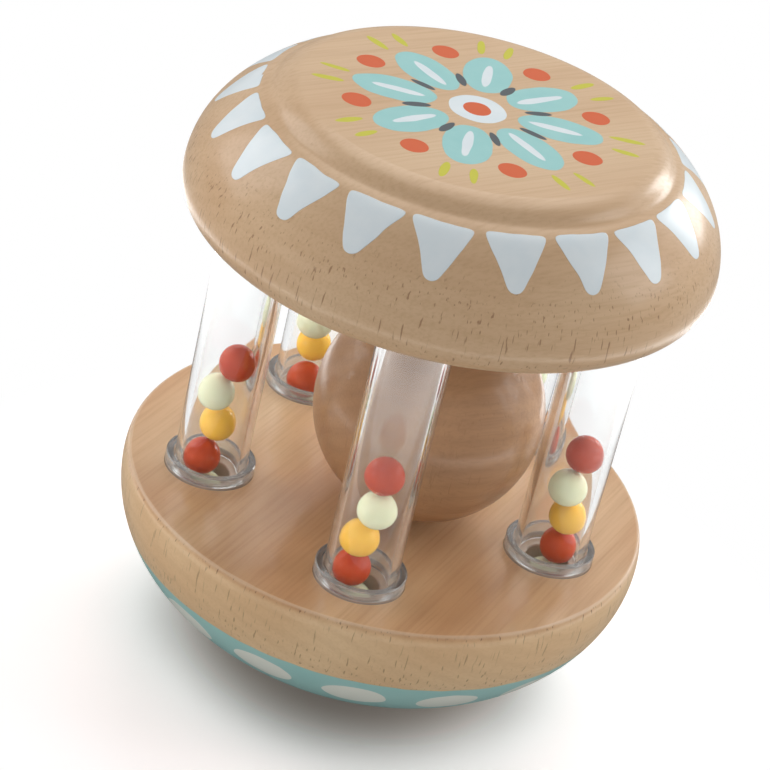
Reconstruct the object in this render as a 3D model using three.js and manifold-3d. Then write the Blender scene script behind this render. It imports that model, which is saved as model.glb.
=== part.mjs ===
// A wooden rattle: two turned beech discs held apart by five clear tubes, with loose
// beads inside each tube and a loose wooden ball inside the cage that the tubes make.
// Millimetres, +Z up. The origin is the centre of the flat foot under the lower disc.

import * as THREE from 'three';
import { mergeVertices } from 'three/addons/utils/BufferGeometryUtils.js';
import Module from 'manifold-3d';

// Lower disc: flat top, bulging rim, dome that runs down to a small flat foot
const LOWER_RADIUS = 58.2;
const RIM_BULGE = 1.1; // how far the rim swells past the edge of the flat top
const RIM_DROP = 4.5; // from the flat top down to the widest point of the rim
const DOME_DEPTH = 38; // from the widest point to the pole of the whole dome
const FOOT_RADIUS = 10;

// Upper disc: flat underside, round edge, sloping shoulder, raised plateau with a hollow at its foot
const UPPER_INSET = 0.9; // how much less it reaches out than the lower disc
const UNDERSIDE_ROUND = 6.2;
const SHOULDER_TURN = 18; // height where the upright side and the shoulder's slope would meet
const SHOULDER_HEIGHT = 27; // height of the plateau's foot above the underside
const SHOULDER_WIDTH = 13; // from the widest edge in to the plateau's foot
const SLOPE_SHARE = 0.85; // share of the shoulder's slope below the place where it levels out
const PLATEAU_RISE = 3.8;
const PLATEAU_EDGE_WIDTH = 7.2; // from the plateau's foot in to its flat

// Tubes and their end caps, which sit in blind holes of the discs
const TUBE_EDGE_DISTANCE = 18.2; // from a tube's axis to the widest edge of the lower disc
const TUBE_RADIUS = 8;
const TUBE_WALL = 1.6;
const CAP_WALL = 1.3;
const CAP_FLOOR = 1.5;
const CAP_IN_WOOD = 11.6; // how far a cap goes into the face of the wood
const CAP_PROUD = 2.8; // how far a lower cap's rim stands out of it
const UPPER_CAP_RECESS = 0.2; // how far an upper cap's rim lies inside it
const SEAT_IN_WOOD = 0.9; // from the face of the wood to the seat of a tube's end
const POCKET_ROOM = 0.6; // all round a bead that lies in the pocket under the tube's end
const FIT_GAP = 0.3; // between pieces that are pushed or glued together

// Beads, from the bottom of each tube to the top
const BEAD_COLOURS = ['cream', 'red', 'yellow', 'cream', 'red'];
const BEAD_RADIUS = 4.1;
const BEAD_GAP = 0.2; // between touching beads, and under the lowest one
const BEAD_SIDE_ROOM = 0.3; // between a bead that leans to one side and the bore

// Loose ball in the cage
const BALL_SIDE_PLAY = 7; // all round the ball when it stands in the middle of the cage
const BALL_HEADROOM = 11.6;
const BALL_GAP = 0.2; // between the ball and what it rests on or against

// The tubes by name, and the sides that the beads above the lowest one lean to, in degrees
const TUBES = [
  { name: 'front', leaning: [177, 213, 282, 278] },
  { name: 'right', leaning: [25, 357, 278, 346] },
  { name: 'back_right', leaning: [300, 140, 20, 200] },
  { name: 'back_left', leaning: [249, 115, 230, 60] },
  { name: 'left', leaning: [180, 98, 159, 46] },
];
const FIRST_TUBE_ANGLE = -Math.PI / 2;
const TUBE_STEP = (2 * Math.PI) / TUBES.length;

// How finely round shapes are divided
const DISC_SEGMENTS = 64;
const TUBE_SEGMENTS = 24;
const BALL_SEGMENTS = 32;
const BEAD_SEGMENTS = 12;
const DOME_STEPS = 9;
const CURVE_STEPS = 5;
const EDGE_STEPS = 4;

// Sizes that follow from the ones above
const UPPER_RADIUS = LOWER_RADIUS - UPPER_INSET;
const TUBE_CIRCLE = LOWER_RADIUS - TUBE_EDGE_DISTANCE;
const BORE_RADIUS = TUBE_RADIUS - TUBE_WALL;
const CAP_BORE = TUBE_RADIUS + FIT_GAP;
const CAP_RADIUS = CAP_BORE + CAP_WALL;
const HOLE_RADIUS = CAP_RADIUS + FIT_GAP;
const HOLE_DEPTH = CAP_IN_WOOD + FIT_GAP;
const FLOOR_DEPTH = CAP_IN_WOOD - CAP_FLOOR; // from the wood's face to a pocket's floor
const POCKET_RADIUS = BEAD_RADIUS + POCKET_ROOM;
const BALL_RADIUS = TUBE_CIRCLE - TUBE_RADIUS - BALL_SIDE_PLAY;
const CAGE_HEIGHT = 2 * BALL_RADIUS + BALL_HEADROOM;
const LOWER_TOP = RIM_DROP + DOME_DEPTH * Math.sqrt(1 - (FOOT_RADIUS / LOWER_RADIUS) ** 2);
const UPPER_UNDERSIDE = LOWER_TOP + CAGE_HEIGHT;

const wasm = await Module();
wasm.setup();

// One material for each finish, copied for each piece that has it
const FINISHES = {
  beech: { color: 0xcdaf8c, roughness: 0.55 },
  ball: { color: 0xb68a60, roughness: 0.5 },
  clear: { color: 0xe8eef0, roughness: 0.05, transparent: true, opacity: 0.35 },
  cream: { color: 0xe2e3bd, roughness: 0.25 },
  red: { color: 0xb03a1c, roughness: 0.25 },
  yellow: { color: 0xe6b04c, roughness: 0.25 },
};

function piece(name, finish, geometry) {
  const material = new THREE.MeshStandardMaterial({ metalness: 0, ...FINISHES[finish] });
  const mesh = new THREE.Mesh(geometry, material);
  mesh.name = name;
  return mesh;
}

// Turns a profile of radius and height about the Z axis
function turned(profile, segments) {
  const geometry = new THREE.LatheGeometry(profile, segments);
  return geometry.rotateX(Math.PI / 2);
}

function upright(radius, height, segments) {
  return new THREE.CylinderGeometry(radius, radius, height, segments).rotateX(Math.PI / 2);
}

function sphere(radius, segments) {
  return new THREE.SphereGeometry(radius, segments, segments / 2).rotateX(Math.PI / 2);
}

// Points of an elliptical arc, angles in radians from the +radius direction
function arc(centreRadius, centreHeight, reachOut, reachUp, from, to, steps) {
  const curve = new THREE.EllipseCurve(centreRadius, centreHeight, reachOut, reachUp, from, to, from > to);
  return curve.getPoints(steps);
}

// Points of a bend between two points, pulled towards a corner; the first point is left out
function bend(from, corner, to, steps) {
  return new THREE.QuadraticBezierCurve(from, corner, to).getPoints(steps).slice(1);
}

function solidOf(geometry) {
  const bare = geometry.clone();
  bare.deleteAttribute('normal');
  bare.deleteAttribute('uv');
  const merged = mergeVertices(bare);
  const vertProperties = new Float32Array(merged.attributes.position.array);
  const triVerts = new Uint32Array(merged.index.array);
  return new wasm.Manifold(new wasm.Mesh({ numProp: 3, vertProperties, triVerts }));
}

function geometryOf(solid) {
  const mesh = solid.getMesh();
  const geometry = new THREE.BufferGeometry();
  geometry.setAttribute('position', new THREE.BufferAttribute(mesh.vertProperties, mesh.numProp));
  geometry.setIndex(new THREE.BufferAttribute(mesh.triVerts, 1));
  geometry.computeVertexNormals();
  return geometry;
}

function tubePlace(index) {
  const angle = FIRST_TUBE_ANGLE + index * TUBE_STEP;
  return new THREE.Vector2(TUBE_CIRCLE * Math.cos(angle), TUBE_CIRCLE * Math.sin(angle));
}

// Cuts a blind hole for each tube into the flat face of a disc. The cutter is centred on the
// face, so half of its length goes into the wood.
function withTubeHoles(discGeometry, faceHeight) {
  let solid = solidOf(discGeometry);
  TUBES.forEach((tube, index) => {
    const place = tubePlace(index);
    const cutter = upright(HOLE_RADIUS, 2 * HOLE_DEPTH, TUBE_SEGMENTS);
    cutter.translate(place.x, place.y, faceHeight);
    solid = solid.subtract(solidOf(cutter));
  });
  return geometryOf(solid);
}

function lowerDisc() {
  const widest = LOWER_TOP - RIM_DROP;
  const footAngle = -Math.acos(FOOT_RADIUS / LOWER_RADIUS);
  const profile = [
    new THREE.Vector2(0, 0),
    ...arc(0, widest, LOWER_RADIUS, DOME_DEPTH, footAngle, 0, DOME_STEPS),
    ...arc(LOWER_RADIUS - RIM_BULGE, widest, RIM_BULGE, RIM_DROP, 0, Math.PI / 2, EDGE_STEPS).slice(1),
    new THREE.Vector2(0, LOWER_TOP),
  ];
  return piece('lower_disc', 'beech', withTubeHoles(turned(profile, DISC_SEGMENTS), LOWER_TOP));
}

function upperDisc() {
  const lowerEdge = UPPER_RADIUS - UNDERSIDE_ROUND;
  const plateauFoot = UPPER_RADIUS - SHOULDER_WIDTH;
  const side = new THREE.Vector2(UPPER_RADIUS, UNDERSIDE_ROUND);
  const turn = new THREE.Vector2(UPPER_RADIUS, SHOULDER_TURN);
  const foot = new THREE.Vector2(plateauFoot, SHOULDER_HEIGHT);
  const slopeEnd = new THREE.QuadraticBezierCurve(side, turn, foot).getPoint(SLOPE_SHARE);

  // A point of the plateau's edge, in shares of its width inwards and of its rise
  const onEdge = (inwards, up) =>
    new THREE.Vector2(plateauFoot - inwards * PLATEAU_EDGE_WIDTH, SHOULDER_HEIGHT + up * PLATEAU_RISE);
  const level = onEdge(0.1, 0);
  const steepest = onEdge(0.36, 0.36);
  const flat = onEdge(1, 1);
  const profile = [
    new THREE.Vector2(0, 0),
    ...arc(lowerEdge, UNDERSIDE_ROUND, UNDERSIDE_ROUND, UNDERSIDE_ROUND, -Math.PI / 2, 0, CURVE_STEPS),
    ...bend(side, side.clone().lerp(turn, SLOPE_SHARE), slopeEnd, CURVE_STEPS),
    ...bend(slopeEnd, onEdge(-0.16, -0.17), level, EDGE_STEPS),
    ...bend(level, onEdge(0.24, 0.08), steepest, EDGE_STEPS),
    ...bend(steepest, onEdge(0.6, 0.86), flat, EDGE_STEPS),
    new THREE.Vector2(0, flat.y),
  ];
  const disc = piece('upper_disc', 'beech', withTubeHoles(turned(profile, DISC_SEGMENTS), 0));
  disc.position.z = UPPER_UNDERSIDE;
  return disc;
}

// A ring of wall from its inner to its outer radius, closed on itself
function tubeWall() {
  const inWood = SEAT_IN_WOOD - FIT_GAP;
  const low = LOWER_TOP - inWood;
  const high = UPPER_UNDERSIDE + inWood;
  const profile = [
    new THREE.Vector2(BORE_RADIUS, low),
    new THREE.Vector2(TUBE_RADIUS, low),
    new THREE.Vector2(TUBE_RADIUS, high),
    new THREE.Vector2(BORE_RADIUS, high),
    new THREE.Vector2(BORE_RADIUS, low),
  ];
  return turned(profile, TUBE_SEGMENTS);
}

// A plug with a seat for a tube's end and a pocket below it. The face of the wood is at height
// zero, and a rim that stands out of it makes a collar round the tube.
function endCap(rim) {
  const profile = [
    new THREE.Vector2(0, -CAP_IN_WOOD),
    new THREE.Vector2(CAP_RADIUS, -CAP_IN_WOOD),
    new THREE.Vector2(CAP_RADIUS, rim),
    new THREE.Vector2(CAP_BORE, rim),
    new THREE.Vector2(CAP_BORE, -SEAT_IN_WOOD),
    new THREE.Vector2(POCKET_RADIUS, -SEAT_IN_WOOD),
    new THREE.Vector2(POCKET_RADIUS, -FLOOR_DEPTH),
    new THREE.Vector2(0, -FLOOR_DEPTH),
  ];
  return turned(profile, TUBE_SEGMENTS);
}

// One tube with its two caps and its column of beads, about its own axis
function filledTube(tube) {
  const group = new THREE.Group();
  group.add(piece(`tube_${tube.name}`, 'clear', tubeWall()));

  const lowerCap = piece(`lower_cap_${tube.name}`, 'clear', endCap(CAP_PROUD));
  lowerCap.position.z = LOWER_TOP;
  const upperCap = piece(`upper_cap_${tube.name}`, 'clear', endCap(-UPPER_CAP_RECESS));
  upperCap.position.z = UPPER_UNDERSIDE;
  upperCap.rotation.x = Math.PI;
  group.add(lowerCap, upperCap);

  // The lowest bead lies in the pocket. Each next one leans to a side of the bore and touches the
  // one below it on a slanting line.
  const lean = Math.max(0, BORE_RADIUS - BEAD_RADIUS - BEAD_SIDE_ROOM);
  const place = new THREE.Vector3(0, 0, LOWER_TOP - FLOOR_DEPTH + BEAD_GAP + BEAD_RADIUS);
  BEAD_COLOURS.forEach((colour, step) => {
    if (step > 0) {
      const angle = THREE.MathUtils.degToRad(tube.leaning[step - 1]);
      const aside = new THREE.Vector2(lean * Math.cos(angle), lean * Math.sin(angle));
      const sideStep = aside.distanceTo(new THREE.Vector2(place.x, place.y));
      const rise = Math.sqrt((2 * BEAD_RADIUS + BEAD_GAP) ** 2 - sideStep ** 2);
      place.set(aside.x, aside.y, place.z + rise);
    }
    const bead = piece(`bead_${tube.name}_${step + 1}`, colour, sphere(BEAD_RADIUS, BEAD_SEGMENTS));
    bead.position.copy(place);
    group.add(bead);
  });
  return group;
}

// The ball lies on the lower disc, against the front and the right tube
function looseBall() {
  const reach = BALL_RADIUS + TUBE_RADIUS + BALL_GAP;
  const halfSpan = TUBE_CIRCLE * Math.sin(TUBE_STEP / 2);
  const spanDistance = TUBE_CIRCLE * Math.cos(TUBE_STEP / 2);
  const offset = spanDistance - Math.sqrt(reach ** 2 - halfSpan ** 2);
  const angle = FIRST_TUBE_ANGLE + TUBE_STEP / 2;
  const ball = piece('loose_ball', 'ball', sphere(BALL_RADIUS, BALL_SEGMENTS));
  ball.position.set(offset * Math.cos(angle), offset * Math.sin(angle), LOWER_TOP + BALL_GAP + BALL_RADIUS);
  return ball;
}

const rattle = new THREE.Group();
rattle.add(lowerDisc(), upperDisc(), looseBall());
TUBES.forEach((tube, index) => {
  const group = filledTube(tube);
  const place = tubePlace(index);
  group.position.set(place.x, place.y, 0);
  rattle.add(group);
});

export default rattle;
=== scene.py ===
import math

import bpy
from mathutils import Matrix, Vector


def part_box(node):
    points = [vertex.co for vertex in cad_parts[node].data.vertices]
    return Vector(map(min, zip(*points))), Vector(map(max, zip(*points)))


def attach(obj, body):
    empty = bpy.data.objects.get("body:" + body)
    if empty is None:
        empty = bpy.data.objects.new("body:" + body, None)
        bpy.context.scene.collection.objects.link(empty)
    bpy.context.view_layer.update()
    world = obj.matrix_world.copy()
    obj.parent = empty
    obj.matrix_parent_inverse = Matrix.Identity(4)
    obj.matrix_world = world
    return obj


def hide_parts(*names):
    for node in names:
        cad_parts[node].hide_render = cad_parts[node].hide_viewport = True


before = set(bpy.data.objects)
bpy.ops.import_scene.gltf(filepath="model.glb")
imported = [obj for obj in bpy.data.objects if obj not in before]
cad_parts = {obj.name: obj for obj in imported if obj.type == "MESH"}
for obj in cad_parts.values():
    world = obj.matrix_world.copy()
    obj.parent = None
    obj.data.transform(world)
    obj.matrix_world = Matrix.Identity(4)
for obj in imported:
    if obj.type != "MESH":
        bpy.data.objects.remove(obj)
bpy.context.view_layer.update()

# Lower disc
# A beech blank turned on a lathe: a flat top with a crisp arris, a bulging rim and a dome below.
# The dome is painted turquoise up to a line under the rim, with a ring of off-white ovals, and
# five blind holes in the flat top take the caps that the tubes stand in.

MM = 0.001  # sizes below are in millimetres, and the frame is in metres
TUBES = ("front", "right", "back_right", "back_left", "left")
DISC_SIDES = 192
DISC_RADIUS = 58.2
RIM_BULGE = 1.1
RIM_DROP = 4.5  # from the flat top to the widest place
RIM_STEPS = 12
DOME_DEPTH = 38
DOME_STEPS = 36
FOOT_RADIUS = 10
FLAT_BAND = 0.6  # a narrow ring inside the edge of a flat face, which keeps its shading flat
LOWER_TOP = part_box("lower_disc")[1].z / MM
HOLE_RADIUS = 9.9
HOLE_DEPTH = 11.9
HOLE_CHAMFER = 0.1
HOLE_SIDES = 96
CUTTER_PROUD = 1  # how far the cutter of a hole stands out of the wood
SAME_POINT = 0.001  # points closer than this are merged
TURNED_ARRIS = 40  # degrees that an edge bends before it shows as an arris


def bow(centre, reach, start, end, steps):
    """Points (radius, height) of an elliptical arc, its angles in degrees from straight outwards."""
    turns = [math.radians(start + (end - start) * i / steps) for i in range(steps + 1)]
    return [(centre[0] + reach[0] * math.cos(a), centre[1] + reach[1] * math.sin(a)) for a in turns]


def turned(name, outline, sides, hollow=False):
    """A turned piece: a ring drawn out along an outline of (radius, height) points. The outline of
    a hollow one ends where it began."""
    bpy.ops.object.select_all(action="DESELECT")
    bpy.ops.mesh.primitive_circle_add(
        vertices=sides,
        radius=outline[0][0] * MM,
        location=(0, 0, outline[0][1] * MM),
        fill_type="NOTHING" if hollow else "NGON",
    )
    piece = bpy.context.object
    piece.name = name
    bpy.ops.object.transform_apply(location=True, rotation=False, scale=False)
    bpy.ops.object.mode_set(mode="EDIT")
    bpy.ops.mesh.select_all(action="SELECT")
    for (r0, h0), (r1, h1) in zip(outline, outline[1:]):
        bpy.ops.mesh.extrude_region_move(TRANSFORM_OT_translate={"value": (0, 0, (h1 - h0) * MM)})
        bpy.ops.transform.resize(value=(r1 / r0, r1 / r0, 1))
    bpy.ops.mesh.select_all(action="SELECT")
    bpy.ops.mesh.remove_doubles(threshold=SAME_POINT * MM)
    bpy.ops.mesh.normals_make_consistent(inside=False)
    bpy.ops.object.mode_set(mode="OBJECT")
    return piece


def moved(piece, place):
    """Puts a piece in its place, in its mesh, with its object left at the origin."""
    bpy.ops.object.select_all(action="DESELECT")
    piece.select_set(True)
    bpy.context.view_layer.objects.active = piece
    bpy.ops.transform.translate(value=place)
    bpy.ops.object.transform_apply(location=True, rotation=False, scale=False)
    return piece


def middle(node):
    """The middle of a CAD node's box."""
    low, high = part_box(node)
    return (low + high) / 2


def bored(disc, face, inward):
    """Cuts the chamfered blind holes for the tube caps into a flat face; inward is 1 up or -1 down."""
    cutters = []
    for tube in TUBES:
        outline = [
            (HOLE_RADIUS, face + inward * HOLE_DEPTH),
            (HOLE_RADIUS, face + inward * HOLE_CHAMFER),
            (HOLE_RADIUS + HOLE_CHAMFER, face),
            (HOLE_RADIUS + HOLE_CHAMFER, face - inward * CUTTER_PROUD),
        ]
        place = middle("tube_" + tube)
        cutters.append(moved(turned("hole", outline, HOLE_SIDES), (place.x, place.y, 0)))
    bpy.ops.object.select_all(action="DESELECT")
    for cutter in cutters:
        cutter.select_set(True)
    bpy.context.view_layer.objects.active = cutters[0]
    bpy.ops.object.join()
    cut = disc.modifiers.new("holes", "BOOLEAN")
    cut.operation = "DIFFERENCE"
    cut.solver = "EXACT"
    cut.object = cutters[0]
    bpy.context.view_layer.objects.active = disc
    bpy.ops.object.modifier_apply(modifier=cut.name)
    bpy.data.objects.remove(cutters[0])


def smoothed(piece, degrees):
    """Smooth shading across every edge that bends less than this."""
    bpy.ops.object.select_all(action="DESELECT")
    piece.select_set(True)
    bpy.context.view_layer.objects.active = piece
    bpy.ops.object.shade_smooth_by_angle(angle=math.radians(degrees))


widest = LOWER_TOP - RIM_DROP
arris_radius = DISC_RADIUS - RIM_BULGE
foot_turn = -math.degrees(math.acos(FOOT_RADIUS / DISC_RADIUS))
lower_outline = [
    (FOOT_RADIUS - FLAT_BAND, 0),
    *bow((0, widest), (DISC_RADIUS, DOME_DEPTH), foot_turn, 0, DOME_STEPS),
    *bow((arris_radius, widest), (RIM_BULGE, RIM_DROP), 0, 90, RIM_STEPS)[1:],
    (arris_radius - FLAT_BAND, LOWER_TOP),
]
lower_disc = turned("lower_disc_turned", lower_outline, DISC_SIDES)
bored(lower_disc, LOWER_TOP, -1)
smoothed(lower_disc, TURNED_ARRIS)


def linear(colour):
    """The linear red, green, blue and alpha of an sRGB hex colour."""
    shares = [int(colour[i:i + 2], 16) / 255 for i in (0, 2, 4)]
    return (*[c / 12.92 if c <= 0.04045 else ((c + 0.055) / 1.055) ** 2.4 for c in shares], 1)


def add(tree, kind, inputs=(), **settings):
    """Adds a node with its settings, and links or sets its inputs. A node given as an input is
    linked from its first output. Sockets go by number where names repeat: a Map Range takes its
    value as 0 and maps 1 to 2 onto 3 to 4, and a Mix takes its share as 0, then two numbers as 2
    and 3 or two colours as 6 and 7."""
    made = tree.nodes.new("ShaderNode" + kind)
    for name, value in settings.items():
        setattr(made, name, value)
    for key, value in dict(inputs).items():
        source = value.outputs[0] if isinstance(value, bpy.types.Node) else value
        if isinstance(source, bpy.types.NodeSocket):
            tree.links.new(source, made.inputs[key])
        else:
            made.inputs[key].default_value = source
    return made


def material(name):
    """A new material with no nodes but its output."""
    made = bpy.data.materials.new(name)
    made.use_nodes = True
    made.node_tree.nodes.clear()
    return made, made.node_tree, add(made.node_tree, "OutputMaterial")


def polar(tree):
    """Radius and height in millimetres and the angle in radians, about the rattle's axis."""
    place = add(tree, "SeparateXYZ", {0: add(tree, "TexCoord").outputs["Object"]})
    x, y, z = place.outputs
    across = add(tree, "CombineXYZ", {0: x, 1: y})
    length = add(tree, "VectorMath", {0: across}, operation="LENGTH").outputs["Value"]
    radius = add(tree, "Math", {0: length, 1: 1 / MM}, operation="MULTIPLY")
    height = add(tree, "Math", {0: z, 1: 1 / MM}, operation="MULTIPLY")
    angle = add(tree, "Math", {0: y, 1: x}, operation="ARCTAN2")
    return radius, height, angle


RING_WIDTH = 3.6
RING_DRIFT = 5.5  # how far a ring strays from its even place
PITH_AWAY = 90  # about how far the pith lies, to turn angles round it into lengths
# Features in a metre along the grain, round the rings and across them
RING_UNEVEN = (12, 60, 60)
FIBRES = (45, 1800, 1800)
PATCHES = (14, 45, 45)
# Features in a metre along the grain, across it and upwards
RAY_FLECKS = (1900, 1900, 150)
FLECK_CUT = (0.63, 0.74)  # where in the noise a fleck begins and is full
FLECK_BROWN = "835839"
FLECKS_LYING = 0.06  # share of the flecks that a level face shows
FIBRE_DARK = 0.28  # most of the dark colour that a fibre takes
FIBRE_RELIEF = 0.02
FLECK_RELIEF = -0.03
WOOD_ROUGH = (0.36, 0.46)


def beech(tree, pale, tan, dark, grain_turn, pith, rings, flecks):
    """Steamed beech, fine sanded and lacquered. Its growth rings run round a pith that lies outside
    the piece, as soft stripes a few millimetres wide along the grain; its rays stand upright and
    show as short dark flecks on the sides, where they are cut across. Returns colour, roughness and
    the height of the open grain in metres."""
    lying = add(tree, "TexCoord")
    coords = lying.outputs["Object"]
    laid = add(tree, "Mapping", {0: coords, "Rotation": (0, 0, -math.radians(grain_turn))})
    grain, across, up = add(tree, "SeparateXYZ", {0: laid}).outputs
    across = add(tree, "Math", {0: across, 1: pith[0] * MM}, operation="SUBTRACT")
    up = add(tree, "Math", {0: up, 1: pith[1] * MM}, operation="SUBTRACT")
    from_pith = add(tree, "CombineXYZ", {0: across, 1: up})
    ring = add(tree, "VectorMath", {0: from_pith}, operation="LENGTH").outputs["Value"]
    fan = add(tree, "Math", {0: across, 1: up}, operation="ARCTAN2")
    fan = add(tree, "Math", {0: fan, 1: PITH_AWAY * MM}, operation="MULTIPLY")
    wood = add(tree, "CombineXYZ", {0: grain, 1: fan, 2: ring})

    # Rings of 3 to 4 mm, drawn out along the grain and never quite even
    stretched = add(tree, "Mapping", {0: wood, "Scale": RING_UNEVEN})
    drift = add(tree, "TexNoise", {"Vector": stretched, "Scale": 1, "Detail": 2})
    drift = add(tree, "Math", {0: drift, 1: RING_DRIFT * MM, 2: ring}, operation="MULTIPLY_ADD")
    phase = add(tree, "Math", {0: drift, 1: math.tau / (RING_WIDTH * MM)}, operation="MULTIPLY")
    stripe = add(tree, "Math", {0: phase}, operation="SINE")
    stripe = add(tree, "MapRange", {0: stripe, 1: -0.6, 2: 1}, interpolation_type="SMOOTHSTEP")

    # Fibres: streaks half a millimetre thick, 40 times as long as they are wide. Real ones are
    # finer, and these are as fine as the render can show
    thread = add(tree, "Mapping", {0: wood, "Scale": FIBRES})
    thread = add(tree, "TexNoise", {"Vector": thread, "Scale": 1, "Detail": 3})

    # Broad patches, some 70 mm along the grain, where the board is a little redder or greyer
    patch = add(tree, "Mapping", {0: wood, "Scale": PATCHES})
    patch = add(tree, "TexNoise", {"Vector": patch, "Scale": 1, "Detail": 1})

    # Ray flecks: upright hairlines 3 to 5 mm long and a third of a millimetre thick
    ray = add(tree, "Mapping", {0: laid, "Scale": RAY_FLECKS})
    ray = add(tree, "TexNoise", {"Vector": ray, "Scale": 1, "Detail": 1, "Roughness": 0.4})
    ray = add(tree, "MapRange", {0: ray, 1: FLECK_CUT[0], 2: FLECK_CUT[1]}, interpolation_type="SMOOTHSTEP")
    facing = add(tree, "SeparateXYZ", {0: lying.outputs["Normal"]}).outputs["Z"]
    facing = add(tree, "Math", {0: facing}, operation="ABSOLUTE")
    steep = {0: facing, 1: 0.75, 2: 0.35, 3: FLECKS_LYING}
    side = add(tree, "MapRange", steep, interpolation_type="SMOOTHSTEP")
    ray = add(tree, "Math", {0: ray, 1: side}, operation="MULTIPLY")

    tone = add(tree, "MapRange", {0: patch, 1: 0.3, 2: 0.7})
    colour = add(tree, "Mix", {0: tone, 6: linear(pale), 7: linear(tan)}, data_type="RGBA").outputs[2]
    share = add(tree, "Math", {0: stripe, 1: rings}, operation="MULTIPLY")
    colour = add(tree, "Mix", {0: share, 6: colour, 7: linear(dark)}, data_type="RGBA").outputs[2]
    share = add(tree, "MapRange", {0: thread, 1: 0.45, 2: 0.8, 4: FIBRE_DARK})
    colour = add(tree, "Mix", {0: share, 6: colour, 7: linear(dark)}, data_type="RGBA").outputs[2]
    share = add(tree, "Math", {0: ray, 1: flecks}, operation="MULTIPLY")
    colour = add(tree, "Mix", {0: share, 6: colour, 7: linear(FLECK_BROWN)}, data_type="RGBA").outputs[2]

    rough = add(tree, "MapRange", {0: thread, 1: 0.3, 2: 0.7, 3: WOOD_ROUGH[0], 4: WOOD_ROUGH[1]})
    relief = add(tree, "Math", {0: thread, 1: FIBRE_RELIEF * MM}, operation="MULTIPLY")
    relief = add(tree, "Math", {0: ray, 1: FLECK_RELIEF * MM, 2: relief}, operation="MULTIPLY_ADD")
    return colour, rough, relief


PAINT_EDGE = 0.07  # half the width in which the paint ends
PAINT_ROUGH = 0.34


def painted(tree, under, coat, shape, depth=0.06):
    """Lays a coat of hobby enamel over (colour, roughness, relief). The shape is a distance in
    millimetres, below zero where there is paint; the paint's edge is crisp and stands a little proud."""
    colour, rough, relief = under
    across_edge = {0: shape, 1: PAINT_EDGE, 2: -PAINT_EDGE}
    cover = add(tree, "MapRange", across_edge, interpolation_type="SMOOTHSTEP")
    colour = add(tree, "Mix", {0: cover, 6: colour, 7: coat}, data_type="RGBA").outputs[2]
    rough = add(tree, "Mix", {0: cover, 2: rough, 3: PAINT_ROUGH})
    relief = add(tree, "Mix", {0: cover, 2: relief, 3: depth * MM})
    return colour, rough, relief


def lacquered(tree, output, layers):
    """The finished surface: satin clear lacquer over wood and paint."""
    colour, rough, relief = layers
    bump = add(tree, "Bump", {"Height": relief, "Strength": 1, "Distance": 1})
    shader = add(tree, "BsdfPrincipled", {
        "Base Color": colour,
        "Roughness": rough,
        "Normal": bump,
        "IOR": 1.48,
        "Specular IOR Level": 0.3,
        "Coat Weight": 0.35,
        "Coat Roughness": 0.17,
    })
    tree.links.new(shader.outputs[0], output.inputs["Surface"])


PAINT_LINE = 15.3  # below the flat top
OVALS = 16
OVAL_TURN = -84.5  # angle of one of them, in degrees
OVAL_MIDDLE = 21.3  # below the flat top
OVAL_RADIUS = 52.2  # of the dome there
OVAL_HALF = (6.9, 4.9)  # half its length round the dome, and half its height along the surface
OVAL_PAINT = 0.1  # thickness
DOME_SLOPE = 0.75  # share of the way along the dome that goes down and not inwards
RIM_PALE_AND_PAINTED_LIGHT = (0.3, 1.5)  # depths below the top where the rim's lightening, partly paler wood and partly painted light, begins and is full
RIM_PALE_AND_PAINTED_LIGHT_SHARE = 0.38
# A painted highlight along the arris: its radius, how far below the top it reaches, its width and its share
ARRIS_HIGHLIGHT_RADIUS = arris_radius + 0.1
ARRIS_HIGHLIGHT_DEPTH = 0.8
ARRIS_HIGHLIGHT_WIDTH = (0.5, 0.15)  # where the painted highlight on the arris begins, and where it is brightest
ARRIS_HIGHLIGHT_SHARE = 0.3

finish, tree, output = material("beech_dome_painted")
layers = beech(tree, "dfbe97", "c69468", "a06c45", 70, (25, -70), 0.14, 1)
radius, height, angle = polar(tree)
coords = add(tree, "TexCoord").outputs["Object"]
# A hand's wobble, 6 mm or so from one swing to the next
wobble = add(tree, "TexNoise", {"Vector": coords, "Scale": 160, "Detail": 1})
wobble = add(tree, "Math", {0: wobble, 1: 0.5}, operation="SUBTRACT")

# The rim is cut from paler wood than the top shows and is lightened further by painted light, and a painted
# highlight runs along the arris between them
down_rim = {0: height, 1: LOWER_TOP - RIM_PALE_AND_PAINTED_LIGHT[0], 2: LOWER_TOP - RIM_PALE_AND_PAINTED_LIGHT[1], 4: RIM_PALE_AND_PAINTED_LIGHT_SHARE}
share = add(tree, "MapRange", down_rim, interpolation_type="SMOOTHSTEP")
pale = add(tree, "Mix", {0: share, 6: layers[0], 7: linear("f3d5a6")}, data_type="RGBA").outputs[2]
# Painted highlight: a pale line along the arris, just below the flat top
arris_highlight = add(tree, "Math", {0: radius, 1: ARRIS_HIGHLIGHT_RADIUS}, operation="SUBTRACT")
arris_highlight = add(tree, "Math", {0: arris_highlight}, operation="ABSOLUTE")
under = add(tree, "Math", {0: LOWER_TOP - ARRIS_HIGHLIGHT_DEPTH, 1: height}, operation="SUBTRACT")
arris_highlight = add(tree, "Math", {0: arris_highlight, 1: under}, operation="MAXIMUM")
arris_highlight = add(tree, "Math", {0: wobble, 1: 0.35, 2: arris_highlight}, operation="MULTIPLY_ADD")
near_arris = {0: arris_highlight, 1: ARRIS_HIGHLIGHT_WIDTH[0], 2: ARRIS_HIGHLIGHT_WIDTH[1], 4: ARRIS_HIGHLIGHT_SHARE}
share = add(tree, "MapRange", near_arris, interpolation_type="SMOOTHSTEP")
pale = add(tree, "Mix", {0: share, 6: pale, 7: linear("efdcc2")}, data_type="RGBA").outputs[2]
layers = (pale, *layers[1:])

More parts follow.
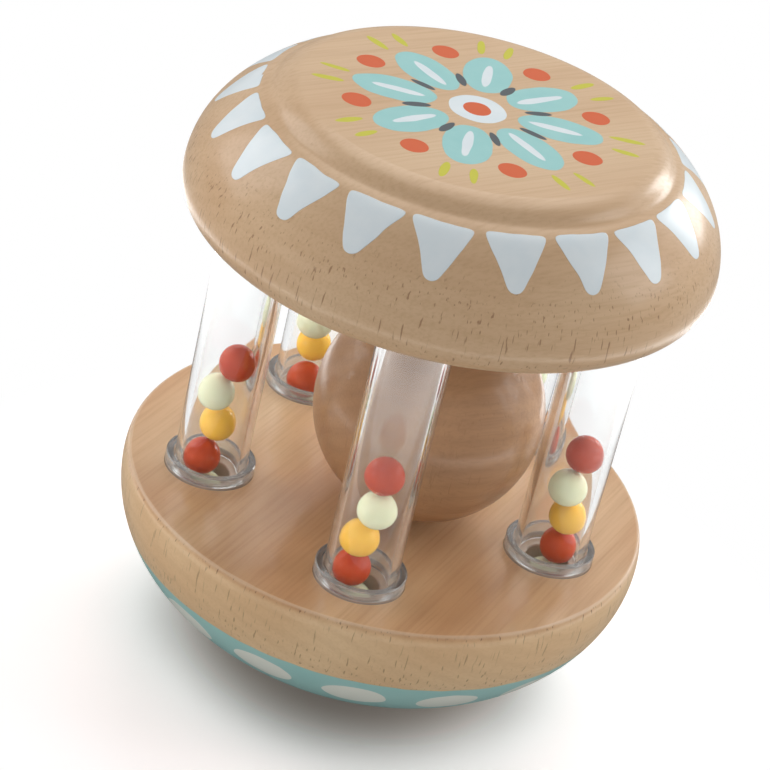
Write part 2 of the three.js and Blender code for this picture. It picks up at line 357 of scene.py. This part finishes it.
line = add(tree, "Math", {0: height, 1: LOWER_TOP - PAINT_LINE}, operation="SUBTRACT")
line = add(tree, "Math", {0: wobble, 1: 0.8, 2: line}, operation="MULTIPLY_ADD")
# Brushed enamel: one colour, in clouds of 10 mm or so where the coat is thinner
brush = add(tree, "TexNoise", {"Vector": coords, "Scale": 90, "Detail": 2})
turquoise = add(tree, "Mix", {0: brush, 6: linear("95c6c2"), 7: linear("a8cfc9")}, data_type="RGBA")
layers = painted(tree, layers, turquoise.outputs[2], line)

step = math.tau / OVALS
count = add(tree, "Math", {0: angle, 1: math.radians(OVAL_TURN)}, operation="SUBTRACT")
count = add(tree, "Math", {0: count, 1: step}, operation="DIVIDE")
nearest = add(tree, "Math", {0: count}, operation="ROUND")
aside = add(tree, "Math", {0: count, 1: nearest}, operation="SUBTRACT")
aside = add(tree, "Math", {0: aside, 1: step * OVAL_RADIUS / OVAL_HALF[0]}, operation="MULTIPLY")
down = add(tree, "Math", {0: LOWER_TOP - OVAL_MIDDLE, 1: height}, operation="SUBTRACT")
down = add(tree, "Math", {0: down, 1: 1 / DOME_SLOPE / OVAL_HALF[1]}, operation="MULTIPLY")
reach = add(tree, "VectorMath", {0: add(tree, "CombineXYZ", {0: aside, 1: down})}, operation="LENGTH")
oval = add(tree, "Math", {0: reach.outputs["Value"], 1: 1}, operation="SUBTRACT")
oval = add(tree, "Math", {0: oval, 1: OVAL_HALF[1]}, operation="MULTIPLY")
oval = add(tree, "Math", {0: wobble, 1: 1.1, 2: oval}, operation="MULTIPLY_ADD")
layers = painted(tree, layers, linear("e9eadf"), oval, OVAL_PAINT)
lacquered(tree, output, layers)
lower_disc.data.materials.append(finish)
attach(lower_disc, "frame")
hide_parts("lower_disc")

# Loose ball
# A plain turned ball of beech, coloured darker than the discs, and waxed. It is too big to slip out
# between the tubes, and knocks about in the cage that they make.

BALL_CUTS = 39
ball_low, ball_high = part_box("loose_ball")
BALL_RADIUS = (ball_high.z - ball_low.z) / 2 / MM


def rounded(name, radius, cuts, place):
    """A ball: a cube cut into even squares and blown up to a sphere of that radius, in its place."""
    bpy.ops.object.select_all(action="DESELECT")
    bpy.ops.mesh.primitive_cube_add(size=2 * radius * MM)
    piece = bpy.context.object
    piece.name = name
    bpy.ops.object.mode_set(mode="EDIT")
    bpy.ops.mesh.select_all(action="SELECT")
    bpy.ops.mesh.subdivide(number_cuts=cuts)
    bpy.ops.transform.tosphere(value=1)
    bpy.ops.object.mode_set(mode="OBJECT")
    farthest = max(v.co.length for v in piece.data.vertices)
    bpy.ops.transform.resize(value=(radius * MM / farthest,) * 3)
    bpy.ops.object.transform_apply(location=False, rotation=False, scale=True)
    bpy.ops.object.shade_smooth()
    return moved(piece, place)


ball = rounded("loose_ball_turned", BALL_RADIUS, BALL_CUTS, middle("loose_ball"))
finish, tree, output = material("beech_ball_waxed")
layers = beech(tree, "bb916c", "a87c57", "835c43", 35, (-45, 20), 0.12, 0.2)
lacquered(tree, output, layers)
ball.data.materials.append(finish)
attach(ball, "loose_ball")
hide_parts("loose_ball")

# Tube caps
# Plugs moulded in clear acrylic and glued into the blind holes, each with a seat for a tube's end and a
# pocket for the first bead. The lower ones have a low collar that stands out of the wood.

CAP_RADIUS = 9.85  # with the glue round it
CAP_FLOOR = 1.5
CAP_ROUND = 0.25
CAP_SIDES = 72
SEAT_RADIUS = 8.3
SEAT_DEPTHS = {"lower": 3.7, "upper": 0.7}  # below the rim
POCKET_RADIUS = 4.7
MOULDED_ARRIS = 30  # degrees
ACRYLIC_IOR = 1.49
BROWN_FROM = (0.8, 0.2)  # short of a tube's end, just inside the wood: where its brown begins and is full

# Moulded acrylic lets light through softly, with a faint haze that gathers in clouds of 5 mm or so
frosted, tree, output = material("acrylic_frosted")
coords = add(tree, "TexCoord").outputs["Object"]
haze = add(tree, "TexNoise", {"Vector": coords, "Scale": 220, "Detail": 2})
colour = add(tree, "Mix", {0: haze, 6: linear("eceff0"), 7: linear("f7f9f9")}, data_type="RGBA")
# Below the face of the wood it takes the dull brown of the hole round it
tube_low, tube_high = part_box("tube_front")
tube_half = (tube_high - tube_low).z / 2 / MM
tube_middle = middle("tube_front").z / MM
off_middle = add(tree, "Math", {0: polar(tree)[1], 1: tube_middle}, operation="SUBTRACT")
off_middle = add(tree, "Math", {0: off_middle}, operation="ABSOLUTE")
inside = add(tree, "MapRange", {0: off_middle, 1: tube_half - BROWN_FROM[0], 2: tube_half - BROWN_FROM[1]})
colour = add(tree, "Mix", {0: inside, 6: colour.outputs[2], 7: linear("b39a86")}, data_type="RGBA")
passing = add(tree, "MapRange", {0: inside, 3: 0.9, 4: 0.1})
rough = add(tree, "MapRange", {0: haze, 1: 0.3, 2: 0.7, 3: 0.12, 4: 0.26})
shader = add(tree, "BsdfPrincipled", {
    "Base Color": colour.outputs[2],
    "Roughness": rough,
    "IOR": ACRYLIC_IOR,
    "Transmission Weight": passing,
})
# Lamps shine through it, a little dimmed
pass_light = add(tree, "BsdfTransparent", {"Color": linear("e4e8e9")})
shade = add(tree, "LightPath").outputs["Is Shadow Ray"]
mixed = add(tree, "MixShader", {0: shade, 1: shader, 2: pass_light})
tree.links.new(mixed.outputs[0], output.inputs["Surface"])

for level, sign in (("lower", 1), ("upper", -1)):
    for tube in TUBES:
        node = f"{level}_cap_{tube}"
        low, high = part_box(node)
        rim = (high.z if sign > 0 else low.z) / MM
        tall = (high.z - low.z) / MM
        seat = SEAT_DEPTHS[level]
        depths = [
            (CAP_RADIUS - CAP_ROUND, tall),
            (CAP_RADIUS, tall - CAP_ROUND),
            (CAP_RADIUS, CAP_ROUND),
            (CAP_RADIUS - CAP_ROUND, 0),
            (SEAT_RADIUS + CAP_ROUND, 0),
            (SEAT_RADIUS, CAP_ROUND),
            (SEAT_RADIUS, seat),
            (POCKET_RADIUS + CAP_ROUND, seat),
            (POCKET_RADIUS, seat + CAP_ROUND),
            (POCKET_RADIUS, tall - CAP_FLOOR - CAP_ROUND),
            (POCKET_RADIUS - CAP_ROUND, tall - CAP_FLOOR),
        ]
        outline = [(r, rim - sign * depth) for r, depth in depths]
        place = middle(node)
        cap = moved(turned(node + "_moulded", outline, CAP_SIDES), (place.x, place.y, 0))
        smoothed(cap, MOULDED_ARRIS)
        cap.data.materials.append(frosted)
        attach(cap, "frame")
        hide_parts(node)

# Tubes
# Five lengths of clear drawn acrylic tube, 16 mm across, polished, with their cut ends broken by a
# small chamfer. They stand in the seats of the caps and hold the two discs apart.

TUBE_RADIUS = 8
TUBE_BORE = 6.4  # radius
TUBE_SIDES = 72
END_CHAMFER = 0.2
DRAWN_LINES = (1500, 1500, 12)  # features in a metre: two thirds of a millimetre by 83 mm

# Drawn tube has faint lines along its length, which blur its reflections, and a trace of white haze
clear, tree, output = material("acrylic_clear")
coords = add(tree, "TexCoord").outputs["Object"]
drawn = add(tree, "Mapping", {0: coords, "Scale": DRAWN_LINES})
drawn = add(tree, "TexNoise", {"Vector": drawn, "Scale": 1, "Detail": 1})
rough = add(tree, "MapRange", {0: drawn, 1: 0.35, 2: 0.75, 3: 0.015, 4: 0.07})
shader = add(tree, "BsdfPrincipled", {
    "Base Color": linear("fdfefe"),
    "Roughness": rough,
    "IOR": ACRYLIC_IOR,
    "Transmission Weight": 0.995,
})
# Lamps shine through the clear wall, as they do through real acrylic
pass_light = add(tree, "BsdfTransparent", {"Color": linear("fbfcfc")})
shade = add(tree, "LightPath").outputs["Is Shadow Ray"]
mixed = add(tree, "MixShader", {0: shade, 1: shader, 2: pass_light})
tree.links.new(mixed.outputs[0], output.inputs["Surface"])

for tube in TUBES:
    node = "tube_" + tube
    low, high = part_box(node)
    bottom, top = low.z / MM, high.z / MM
    outline = [
        (TUBE_BORE, bottom + END_CHAMFER),
        (TUBE_BORE + END_CHAMFER, bottom),
        (TUBE_RADIUS - END_CHAMFER, bottom),
        (TUBE_RADIUS, bottom + END_CHAMFER),
        (TUBE_RADIUS, top - END_CHAMFER),
        (TUBE_RADIUS - END_CHAMFER, top),
        (TUBE_BORE + END_CHAMFER, top),
        (TUBE_BORE, top - END_CHAMFER),
        (TUBE_BORE, bottom + END_CHAMFER),
    ]
    place = middle(node)
    wall = moved(turned(node + "_drawn", outline, TUBE_SIDES, hollow=True), (place.x, place.y, 0))
    smoothed(wall, MOULDED_ARRIS)
    wall.data.materials.append(clear)
    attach(wall, "frame")
    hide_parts(node)

# Beads
# Round glossy polystyrene beads, five loose in each tube: cream, red, yellow, cream and red from the
# bottom. They are moulded in coloured resin that lets a little light in.

BEAD_COLOURS = {"cream": ("e6e6c4", "dfe0ba"), "red": ("bd3f06", "a92b03"), "yellow": ("f3c04c", "ecb23c")}
BEAD_ORDER = ("cream", "red", "yellow", "cream", "red")
BEAD_CUTS = 11
bead_low, bead_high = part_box("bead_front_1")
BEAD_RADIUS = (bead_high.z - bead_low.z) / 2 / MM

resin = {}
for name, (fair, deep) in BEAD_COLOURS.items():
    finish, tree, output = material("polystyrene_" + name)
    coords = add(tree, "TexCoord").outputs["Object"]
    # Colour that never mixed in fully, in soft clouds of 3 mm or so, and scuffs of 1 mm in the gloss
    cloud = add(tree, "TexNoise", {"Vector": coords, "Scale": 300, "Detail": 1})
    colour = add(tree, "Mix", {0: cloud, 6: linear(fair), 7: linear(deep)}, data_type="RGBA")
    scuff = add(tree, "TexNoise", {"Vector": coords, "Scale": 900, "Detail": 2})
    rough = add(tree, "MapRange", {0: scuff, 1: 0.35, 2: 0.75, 3: 0.16, 4: 0.3})
    shader = add(tree, "BsdfPrincipled", {
        "Base Color": colour.outputs[2],
        "Roughness": rough,
        "IOR": 1.55,
        "Specular IOR Level": 0.15,
        "Subsurface Weight": 0.15,
        "Subsurface Radius": (1, 0.6, 0.4),
        "Subsurface Scale": 0.8 * MM,
    })
    tree.links.new(shader.outputs[0], output.inputs["Surface"])
    resin[name] = finish

for tube in TUBES:
    for number, name in enumerate(BEAD_ORDER, 1):
        node = f"bead_{tube}_{number}"
        bead = rounded(node + "_moulded", BEAD_RADIUS, BEAD_CUTS, middle(node))
        bead.data.materials.append(resin[name])
        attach(bead, node)
        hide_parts(node)

# Upper disc
# The second beech blank: a flat underside with blind holes for the upper caps, a full round edge, a
# sloping shoulder and a raised plateau with a soft edge. A ring of white rounded triangles is painted
# round the shoulder, and a folk rosette in the same paints on the plateau.

UPPER_RADIUS = 57.3
UNDERSIDE_ROUND = 6.2
SHOULDER_TURN = 18  # height where the edge's upright tangent meets the slope's
SHOULDER_HEIGHT = 27
SHOULDER_WIDTH = 13
PLATEAU_RISE = 3.8
PLATEAU_EDGE = 7.2
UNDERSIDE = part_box("upper_disc")[0].z / MM


def swept(first, control, last, steps):
    """Points of a quadratic curve, its own first point left out."""
    shares = [i / steps for i in range(1, steps + 1)]
    weights = [((1 - t) ** 2, 2 * t * (1 - t), t * t) for t in shares]
    return [tuple(a * p + b * q + c * r for p, q, r in zip(first, control, last)) for a, b, c in weights]


edge = (UPPER_RADIUS, UNDERSIDE_ROUND)
foot = (UPPER_RADIUS - SHOULDER_WIDTH, SHOULDER_HEIGHT)
lower_edge = (UPPER_RADIUS - UNDERSIDE_ROUND, UNDERSIDE_ROUND)


def on_edge(inwards, up):
    """A point of the plateau's edge, in shares of its width inwards and of its rise."""
    return (foot[0] - inwards * PLATEAU_EDGE, foot[1] + up * PLATEAU_RISE)


# The slope levels out, turns up in a small hollow and over the plateau's nose to a faint arris
slope = swept(edge, (UPPER_RADIUS, SHOULDER_TURN), foot, 40)[:34]
hollow, steepest, arris = on_edge(0.1, 0), on_edge(0.36, 0.36), on_edge(1, 1)
upper_outline = [
    (lower_edge[0] - FLAT_BAND, 0),
    *bow(lower_edge, (UNDERSIDE_ROUND, UNDERSIDE_ROUND), -90, 0, 14),
    *slope,
    *swept(slope[-1], on_edge(-0.16, -0.17), hollow, 10),
    *swept(hollow, on_edge(0.24, 0.08), steepest, 8),
    *swept(steepest, on_edge(0.6, 0.86), arris, 12),
    (arris[0] - FLAT_BAND, arris[1]),
]
upper_outline = [(r, h + UNDERSIDE) for r, h in upper_outline]
upper_disc = turned("upper_disc_turned", upper_outline, DISC_SIDES)
bored(upper_disc, UNDERSIDE, 1)
smoothed(upper_disc, TURNED_ARRIS)

finish, tree, output = material("beech_shoulder_painted")
layers = beech(tree, "dabb97", "d0ac86", "aa8058", 43, (-30, 20), 0.07, 0.62)
radius, height, angle = polar(tree)
coords = add(tree, "TexCoord").outputs["Object"]
wobble = add(tree, "TexNoise", {"Vector": coords, "Scale": 150, "Detail": 1})
wobble = add(tree, "Math", {0: wobble, 1: 0.5}, operation="SUBTRACT")
brush = add(tree, "TexNoise", {"Vector": coords, "Scale": 200, "Detail": 3})

# Triangles: twenty round, base up against the plateau's foot and rounded tip pointing down
TRIANGLES = 20
TIP = (53.7, UNDERSIDE + 17.8)  # radius and height
BASE = (44.9, UNDERSIDE + 26.4)
BASE_HALF = 6.7
BASE_ROUND = 3
TIP_HALF = 1.3
TIP_ROUND = 2.2
UNEVEN = 0.9  # by how much one triangle reaches lower than another
TRIANGLE_PAINT = 0.12  # thickness
run = math.hypot(TIP[0] - BASE[0], BASE[1] - TIP[1])
inward, upward = (TIP[0] - BASE[0]) / run, (BASE[1] - TIP[1]) / run
lean = math.atan((BASE_HALF - TIP_HALF) / run)
step = math.tau / TRIANGLES
count = add(tree, "Math", {0: angle, 1: step}, operation="DIVIDE")
nearest = add(tree, "Math", {0: count}, operation="ROUND")
aside = add(tree, "Math", {0: count, 1: nearest}, operation="SUBTRACT")
aside = add(tree, "Math", {0: aside, 1: radius}, operation="MULTIPLY")
aside = add(tree, "Math", {0: aside, 1: step}, operation="MULTIPLY")
in_part = add(tree, "Math", {0: TIP[0], 1: radius}, operation="SUBTRACT")
in_part = add(tree, "Math", {0: in_part, 1: inward}, operation="MULTIPLY")
up_part = add(tree, "Math", {0: height, 1: TIP[1]}, operation="SUBTRACT")
along = add(tree, "Math", {0: up_part, 1: upward, 2: in_part}, operation="MULTIPLY_ADD")
own = add(tree, "TexWhiteNoise", {"W": nearest}, noise_dimensions="1D").outputs["Value"]
along = add(tree, "Math", {0: own, 1: UNEVEN, 2: along}, operation="MULTIPLY_ADD")
along = add(tree, "Math", {0: along, 1: UNEVEN / 2}, operation="SUBTRACT")
width = add(tree, "MapRange", {0: along, 2: run, 3: TIP_HALF, 4: BASE_HALF}, clamp=False)
side = add(tree, "Math", {0: aside}, operation="ABSOLUTE")
side = add(tree, "Math", {0: side, 1: width}, operation="SUBTRACT")
side = add(tree, "Math", {0: side, 1: math.cos(lean)}, operation="MULTIPLY")
top_edge = add(tree, "Math", {0: along, 1: run}, operation="SUBTRACT")
tip_edge = add(tree, "Math", {0: along, 1: -1}, operation="MULTIPLY")
triangle = add(tree, "Math", {0: side, 1: top_edge, 2: BASE_ROUND}, operation="SMOOTH_MAX")
triangle = add(tree, "Math", {0: triangle, 1: tip_edge, 2: TIP_ROUND}, operation="SMOOTH_MAX")
triangle = add(tree, "Math", {0: wobble, 1: 0.9, 2: triangle}, operation="MULTIPLY_ADD")
white = add(tree, "Mix", {0: brush, 6: linear("dce8ee"), 7: linear("edf3f5")}, data_type="RGBA").outputs[2]
layers = painted(tree, layers, white, triangle, TRIANGLE_PAINT)

# Rosette: eight veined petals round a dotted centre, strokes and dots between them, short rays outside
PETALS = 8
RAY_TURN = 0.095  # from a petal's middle line, in radians
EDGE_KEPT = 0.4  # paint stops this far below the plateau's flat
CORE_RADIUS = 6.2
HEART_RADIUS = 3
SPOT_WOBBLE = 0.8
TERRACOTTA = linear("d6591a")
step = math.tau / PETALS
fold = add(tree, "Math", {0: angle, 1: step}, operation="DIVIDE")
nearest = add(tree, "Math", {0: fold}, operation="ROUND")
fold = add(tree, "Math", {0: fold, 1: nearest}, operation="SUBTRACT")
fold = add(tree, "Math", {0: fold, 1: step}, operation="MULTIPLY")
off_petal = add(tree, "Math", {0: fold}, operation="ABSOLUTE")
between = add(tree, "Math", {0: step / 2, 1: off_petal}, operation="SUBTRACT")
paired = add(tree, "Math", {0: off_petal, 1: RAY_TURN}, operation="SUBTRACT")
below = add(tree, "Math", {0: UNDERSIDE + arris[1] - EDGE_KEPT, 1: height}, operation="SUBTRACT")


def spot(turn, middle_radius, half_long, half_wide):
    """Distance to an oval that lies along a radius of the rosette, kept to the plateau's flat."""
    out = add(tree, "Math", {0: turn}, operation="COSINE")
    out = add(tree, "Math", {0: radius, 1: out}, operation="MULTIPLY")
    out = add(tree, "Math", {0: out, 1: middle_radius}, operation="SUBTRACT")
    out = add(tree, "Math", {0: out, 1: half_long}, operation="DIVIDE")
    wide = add(tree, "Math", {0: turn}, operation="SINE")
    wide = add(tree, "Math", {0: radius, 1: wide}, operation="MULTIPLY")
    wide = add(tree, "Math", {0: wide, 1: half_wide}, operation="DIVIDE")
    size = add(tree, "VectorMath", {0: add(tree, "CombineXYZ", {0: out, 1: wide})}, operation="LENGTH")
    shape = add(tree, "Math", {0: size.outputs["Value"], 1: 1}, operation="SUBTRACT")
    shape = add(tree, "Math", {0: shape, 1: half_wide}, operation="MULTIPLY")
    shape = add(tree, "Math", {0: wobble, 1: SPOT_WOBBLE, 2: shape}, operation="MULTIPLY_ADD")
    return add(tree, "Math", {0: shape, 1: below}, operation="MAXIMUM")


blue = add(tree, "Mix", {0: brush, 6: linear("92cbca"), 7: linear("a3d5d2")}, data_type="RGBA").outputs[2]
for coat, turn, place, half_long, half_wide in (
    (blue, fold, 17.6, 9, 5.3),  # petals
    (white, fold, 16.6, 5.6, 1.1),  # their veins
    (linear("434a4f"), between, 13.2, 3, 0.95),  # dark strokes
    (TERRACOTTA, between, 26.2, 3, 3),  # dots
    (linear("cbc632"), paired, 31.4, 3.2, 0.85),  # rays, two to a petal
):
    layers = painted(tree, layers, coat, spot(turn, place, half_long, half_wide))
core = add(tree, "Math", {0: radius, 1: CORE_RADIUS}, operation="SUBTRACT")
core = add(tree, "Math", {0: wobble, 1: SPOT_WOBBLE, 2: core}, operation="MULTIPLY_ADD")
shape = add(tree, "Math", {0: core, 1: below}, operation="MAXIMUM")
layers = painted(tree, layers, white, shape)
heart = add(tree, "Math", {0: core, 1: CORE_RADIUS - HEART_RADIUS}, operation="ADD")
shape = add(tree, "Math", {0: heart, 1: below}, operation="MAXIMUM")
layers = painted(tree, layers, TERRACOTTA, shape)
lacquered(tree, output, layers)
upper_disc.data.materials.append(finish)
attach(upper_disc, "frame")
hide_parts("upper_disc")

# Floor, light and camera
# A plain white sweep of paper keeps the soft shadow, under a broad light that fades to the horizon, and a
# shadow is painted on the paper round the foot. Soft boxes stand at the left and right, small ones low in
# front of them, one behind the right shoulder and a long one behind; one overhead and a ring of bright
# paper on the floor show in gloss alone.

FLOOR_SIZE = 6  # metres
BOUNCE = (0.7, 0.7, 0.7, 1)  # what the paper throws back on the rattle
FOOT_PAINTED_SHADOW = (0.72, 0.54, 0.49, 1)  # the painted shadow round the foot, where the dome keeps the light off
OPEN_TINT = (1.5, 1.37, 1.36, 1)  # as seen clear of the dome
PAINTED_SHADOW_TO_OPEN = (29, 52)  # radii where the painted shadow gives way to open paper
FADE_TO_WHITE = (48, 115)  # radii
GLOSS_RING = 205  # radius
GLOSS_RING_HALF = 60  # half its width
RING_LEVEL = 3.4
BESIDE_LEVEL = 0.25
WHITE = (1, 1, 1, 1)


def seen_rays(tree, path):
    """1 for a ray that the camera sees as it is, also through the clear tubes, and otherwise 0."""
    rays = {0: path.outputs["Is Camera Ray"], 1: path.outputs["Is Transmission Ray"]}
    return add(tree, "Math", rays, operation="MAXIMUM")


bpy.ops.object.select_all(action="DESELECT")
bpy.ops.mesh.primitive_plane_add(size=FLOOR_SIZE)
floor = bpy.context.object
floor.name = "floor"
finish, tree, output = material("paper_sweep")
path = add(tree, "LightPath")
seen = seen_rays(tree, path)
radius = polar(tree)[0]
spread = {0: radius, 1: FADE_TO_WHITE[0], 2: FADE_TO_WHITE[1]}
far = add(tree, "MapRange", spread, interpolation_type="SMOOTHSTEP")
share = add(tree, "Math", {0: seen, 1: far}, operation="MULTIPLY")
# A shadow painted on the paper round the foot, as the camera sees it, fading out between these radii
spread = {0: radius, 1: PAINTED_SHADOW_TO_OPEN[0], 2: PAINTED_SHADOW_TO_OPEN[1]}
clear_of_painted_shadow = add(tree, "MapRange", spread, interpolation_type="SMOOTHSTEP")
shown = add(tree, "Mix", {0: clear_of_painted_shadow, 6: FOOT_PAINTED_SHADOW, 7: OPEN_TINT}, data_type="RGBA").outputs[2]
off_ring = add(tree, "Math", {0: radius, 1: GLOSS_RING}, operation="SUBTRACT")
off_ring = add(tree, "Math", {0: off_ring}, operation="ABSOLUTE")
spread = {0: off_ring, 1: 0, 2: GLOSS_RING_HALF, 3: RING_LEVEL, 4: BESIDE_LEVEL}
ring = add(tree, "MapRange", spread, interpolation_type="SMOOTHSTEP")
in_gloss = path.outputs["Is Glossy Ray"]
bounced = add(tree, "Mix", {0: in_gloss, 6: BOUNCE, 7: ring}, data_type="RGBA").outputs[2]
tint = add(tree, "Mix", {0: seen, 6: bounced, 7: shown}, data_type="RGBA").outputs[2]
paper = add(tree, "BsdfDiffuse", {"Color": tint})
glow = add(tree, "Emission", {"Color": WHITE, "Strength": 1})
mixed = add(tree, "MixShader", {0: share, 1: paper, 2: glow})
tree.links.new(mixed.outputs[0], output.inputs["Surface"])
floor.data.materials.append(finish)

HORIZON_LEVEL = 0.1
ZENITH_LEVEL = 0.54
OVERHEAD = (0, 0.42, 0.91)  # towards the soft box overhead
OVERHEAD_EDGE = (0.83, 0.96)  # cosines from it where that box begins and is full
GLOSS_LEVEL = 0.55
OVERHEAD_LEVEL = 3.4

scene = bpy.context.scene
world = bpy.data.worlds.new("white_studio")
scene.world = world
world.use_nodes = True
tree = world.node_tree
tree.nodes.clear()
path = add(tree, "LightPath")
seen = seen_rays(tree, path)
sky = add(tree, "TexCoord").outputs["Generated"]
up = add(tree, "SeparateXYZ", {0: sky}).outputs["Z"]
ambient = add(tree, "MapRange", {0: up, 1: 0, 2: 1, 3: HORIZON_LEVEL, 4: ZENITH_LEVEL})
towards = add(tree, "VectorMath", {0: sky, 1: OVERHEAD}, operation="DOT_PRODUCT").outputs["Value"]
spread = {0: towards, 1: OVERHEAD_EDGE[0], 2: OVERHEAD_EDGE[1], 3: GLOSS_LEVEL, 4: OVERHEAD_LEVEL}
glossy = add(tree, "MapRange", spread, interpolation_type="SMOOTHSTEP")
strength = add(tree, "Mix", {0: path.outputs["Is Glossy Ray"], 2: ambient, 3: glossy})
surround = add(tree, "Background", {"Color": WHITE, "Strength": strength})
backdrop = add(tree, "Background", {"Color": WHITE, "Strength": 1})
mixed = add(tree, "MixShader", {0: seen, 1: surround, 2: backdrop})
add(tree, "OutputWorld", {"Surface": mixed})

AIM = Vector((0, 0, 0.075))


def lamp(name, place, width, height, watts, mirrored=True):
    """A soft box that points at the rattle, in metres. One that isn't mirrored shows in no gloss."""
    light = bpy.data.lights.new(name, "AREA")
    light.shape = "RECTANGLE"
    light.size = width
    light.size_y = height
    light.energy = watts
    made = bpy.data.objects.new(name, light)
    scene.collection.objects.link(made)
    made.visible_glossy = mirrored
    made.location = place
    made.rotation_euler = (AIM - Vector(place)).to_track_quat("-Z", "Y").to_euler()


lamp("left_light", (-0.78, 0.25, 0.52), width=0.5, height=0.6, watts=2.6)
lamp("left_low_light", (-0.62, -0.4, 0.17), width=0.3, height=0.15, watts=1.4, mirrored=False)
lamp("right_light", (0.8, 0.12, 0.5), width=0.4, height=0.5, watts=1.9)
lamp("right_low_light", (0.68, -0.3, 0.17), width=0.3, height=0.15, watts=0.8, mirrored=False)
lamp("shoulder_light", (0.55, 0.68, 0.32), width=0.2, height=0.35, watts=1.8)
lamp("back_light", (0.1, 0.75, 0.75), width=1, height=0.3, watts=3.6, mirrored=False)

# The camera stands in front and above, rolled as the photograph is
VIEW_PLACE = Vector((0.01027, -0.56371, 0.39258))
VIEW_RIGHT = Vector((0.96846, 0.14449, 0.20298))
VIEW_UP = Vector((-0.24802, 0.48136, 0.8407))
VIEW_BACK = Vector((0.02376, -0.86453, 0.50202))
camera = bpy.data.objects.new("camera", bpy.data.cameras.new("camera"))
scene.collection.objects.link(camera)
camera.data.sensor_width = 36
camera.data.lens = 140.26
camera.data.clip_start = 0.01
turn = Matrix((VIEW_RIGHT, VIEW_UP, VIEW_BACK)).transposed()
camera.matrix_world = Matrix.Translation(VIEW_PLACE) @ turn.to_4x4()
scene.camera = camera
scene.view_settings.view_transform = "Standard"
